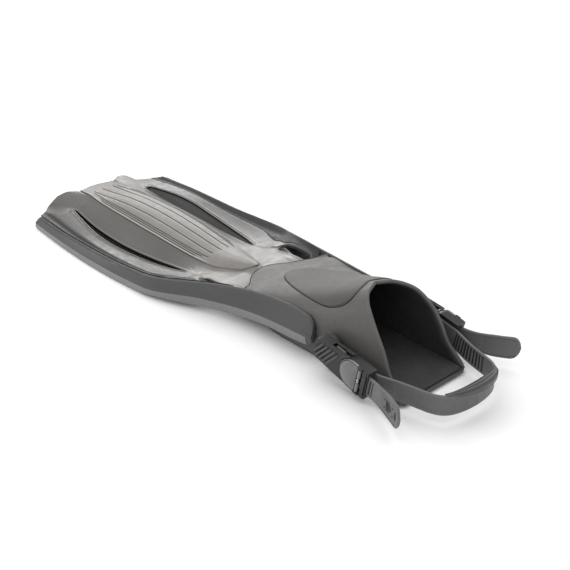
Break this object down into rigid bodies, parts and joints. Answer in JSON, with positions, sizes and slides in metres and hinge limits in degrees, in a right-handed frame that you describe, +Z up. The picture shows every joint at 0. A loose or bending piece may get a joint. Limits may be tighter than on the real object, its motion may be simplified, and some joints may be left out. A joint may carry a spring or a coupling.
{
  "type": "swim fin",
  "caption": "Open-heel scuba fin with a channelled blade, side rails, a rubber foot pocket and a quick-release heel strap.",
  "frame": {"origin": "on the sole's standing plane, on the centre plane, 5 mm ahead of the heel edge of the tread", "axes": "+Y runs from the heel to the blade tip, +Z is up from the sole, +X is to the right when looking towards the tip"},
  "size_m": [0.238, 0.7225, 0.092],
  "materials": {
    "blade_plastic": "satin moulded plastic",
    "leaf_rubber": "fine-grained matt rubber",
    "rail_rubber": "matt rubber",
    "membrane_rubber": "smooth matt rubber",
    "pocket_rubber": "satin rubber",
    "instep_rubber": "satin rubber",
    "chassis_plastic": "satin moulded plastic",
    "footbed_rubber": "pebbled matt rubber",
    "tread_rubber": "matt rubber",
    "post_plastic": "smooth moulded plastic",
    "buckle_plastic": "semi-gloss moulded plastic",
    "lever_plastic": "semi-gloss moulded plastic",
    "button_plastic": "semi-gloss moulded plastic",
    "strap_rubber": "matt moulded rubber",
    "tab_rubber": "matt moulded rubber",
    "pin_steel": "drawn stainless steel",
    "spring_steel": "drawn stainless steel wire"
  },
  "bodies": {
    "fin": {"blade": "blade_plastic", "center_panel": "leaf_rubber", "left_rail": "rail_rubber", "right_rail": "rail_rubber", "left_membrane": "membrane_rubber", "right_membrane": "membrane_rubber", "foot_pocket": "pocket_rubber", "instep_panel": "instep_rubber", "sole_plate": "chassis_plastic", "footbed": "footbed_rubber", "outsole": "tread_rubber", "left_anchor_arm": "chassis_plastic", "right_anchor_arm": "chassis_plastic", "left_anchor_post": "post_plastic", "right_anchor_post": "post_plastic"},
    "left_receiver": {"left_receiver": "buckle_plastic"},
    "right_receiver": {"right_receiver": "buckle_plastic"},
    "strap": {"heel_strap": "strap_rubber", "heel_tab": "tab_rubber", "left_buckle_body": "buckle_plastic", "right_buckle_body": "buckle_plastic", "left_strap_bar": "pin_steel", "right_strap_bar": "pin_steel", "left_pawl_pin": "pin_steel", "right_pawl_pin": "pin_steel", "left_pawl_spring": "spring_steel", "right_pawl_spring": "spring_steel"},
    "left_lever": {"left_pawl_lever": "lever_plastic"},
    "right_lever": {"right_pawl_lever": "lever_plastic"},
    "left_upper_button": {"left_upper_button": "button_plastic"},
    "left_lower_button": {"left_lower_button": "button_plastic"},
    "right_upper_button": {"right_upper_button": "button_plastic"},
    "right_lower_button": {"right_lower_button": "button_plastic"}
  },
  "joints": [
    {"name": "strap_swing", "type": "hinge", "parent": "fin", "child": "left_receiver", "pos_m": [-0.063, 0.09, 0.037], "axis": [-1, 0, 0], "range_deg": [-3, 110]},
    {"name": "right_receiver_swing", "type": "hinge", "parent": "fin", "child": "right_receiver", "pos_m": [0.063, 0.09, 0.037], "axis": [-1, 0, 0], "range_deg": [-3, 110]},
    {"name": "strap_release", "type": "slide", "parent": "left_receiver", "child": "strap", "axis": [0, -0.9816, -0.1908], "range_m": [0, 0.03]},
    {"name": "left_lever_lift", "type": "hinge", "parent": "strap", "child": "left_lever", "pos_m": [-0.0756, 0.03375, 0.02607], "axis": [0, -0.1908, 0.9816], "range_deg": [0, 30], "stiffness_Nm_per_rad": 0.03},
    {"name": "right_lever_lift", "type": "hinge", "parent": "strap", "child": "right_lever", "pos_m": [0.0756, 0.03375, 0.02607], "axis": [0, 0.1908, -0.9816], "range_deg": [0, 30], "stiffness_Nm_per_rad": 0.03},
    {"name": "left_upper_press", "type": "slide", "parent": "strap", "child": "left_upper_button", "axis": [0, 0.1908, -0.9816], "range_m": [0, 0.0025], "stiffness_N_per_m": 200},
    {"name": "left_lower_press", "type": "slide", "parent": "strap", "child": "left_lower_button", "axis": [0, -0.1908, 0.9816], "range_m": [0, 0.0025], "stiffness_N_per_m": 200},
    {"name": "right_upper_press", "type": "slide", "parent": "strap", "child": "right_upper_button", "axis": [0, 0.1908, -0.9816], "range_m": [0, 0.0025], "stiffness_N_per_m": 200},
    {"name": "right_lower_press", "type": "slide", "parent": "strap", "child": "right_lower_button", "axis": [0, -0.1908, 0.9816], "range_m": [0, 0.0025], "stiffness_N_per_m": 200}
  ],
  "couplings": [
    {"joint": "right_receiver_swing", "follows": "strap_swing", "ratio": 1}
  ]
}
